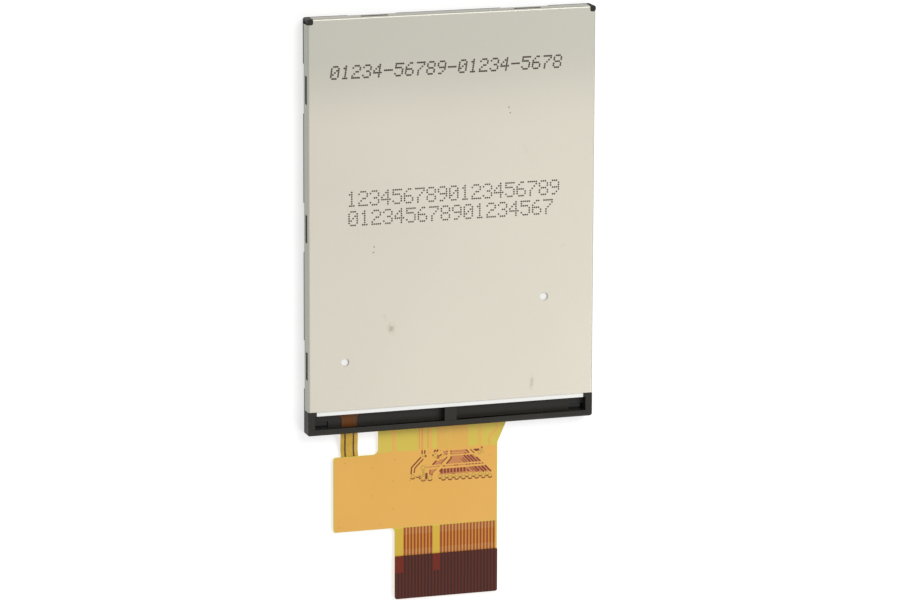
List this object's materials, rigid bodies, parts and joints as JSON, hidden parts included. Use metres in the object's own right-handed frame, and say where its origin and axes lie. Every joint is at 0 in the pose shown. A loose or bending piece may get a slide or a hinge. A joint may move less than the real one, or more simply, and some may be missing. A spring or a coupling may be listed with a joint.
{
  "type": "tft display module",
  "caption": "Thin colour display module: steel rear pan on a black moulded frame with a white reflector edge, an LED flex tail and a printed flex that ends in a stiffened contact tail.",
  "frame": {"origin": "centre of the moulded outline on the display face, which is the front polarizer's face", "axes": "the module lies on its display face: +X across it, +Y up the picture, away from the flex tail, +Z out of the steel rear pan"},
  "size_m": [0.0428, 0.0855, 0.0023],
  "materials": {
    "polarizer": "gloss",
    "panel_glass": "polished",
    "seal": "matt",
    "ledge_glass": "polished",
    "silicon": "polished silicon",
    "conductive_adhesive": "matt",
    "clear_coat": "gloss",
    "black_tape": "matt",
    "prism_film": "satin",
    "diffuser": "matt",
    "clear_acrylic": "polished",
    "white_reflector": "satin",
    "clear_tape": "matt",
    "led_body": "matt",
    "amber_film": "satin",
    "covered_copper_line": "satin",
    "solder": "bright",
    "black_moulding": "fine matt",
    "steel_sheet": "matt rolled",
    "yellow_film": "satin",
    "covered_copper": "satin",
    "gold_contact": "plated",
    "dark_amber_film": "satin",
    "capacitor_body": "matt",
    "resistor_body": "satin"
  },
  "bodies": {
    "root": {"front_polarizer": "polarizer", "colour_filter_glass": "panel_glass", "cell_seal": "seal", "tft_glass": "ledge_glass", "rear_polarizer": "polarizer", "driver_ic": "silicon", "bond_films": "conductive_adhesive", "ledge_sealant": "clear_coat", "rim_tape": "black_tape", "upper_prism_film": "prism_film", "lower_prism_film": "prism_film", "diffuser_film": "diffuser", "light_guide": "clear_acrylic", "reflector_film": "white_reflector", "led_tape": "clear_tape", "leds": "led_body", "led_flex": "amber_film", "led_flex_traces": "covered_copper_line", "tail_solder": "solder", "moulded_frame": "black_moulding", "rear_pan": "steel_sheet", "main_flex": "yellow_film", "rear_copper": "covered_copper", "contact_fingers": "gold_contact", "flex_stiffener": "dark_amber_film", "capacitors": "capacitor_body", "resistors": "resistor_body"}
  },
  "joints": []
}
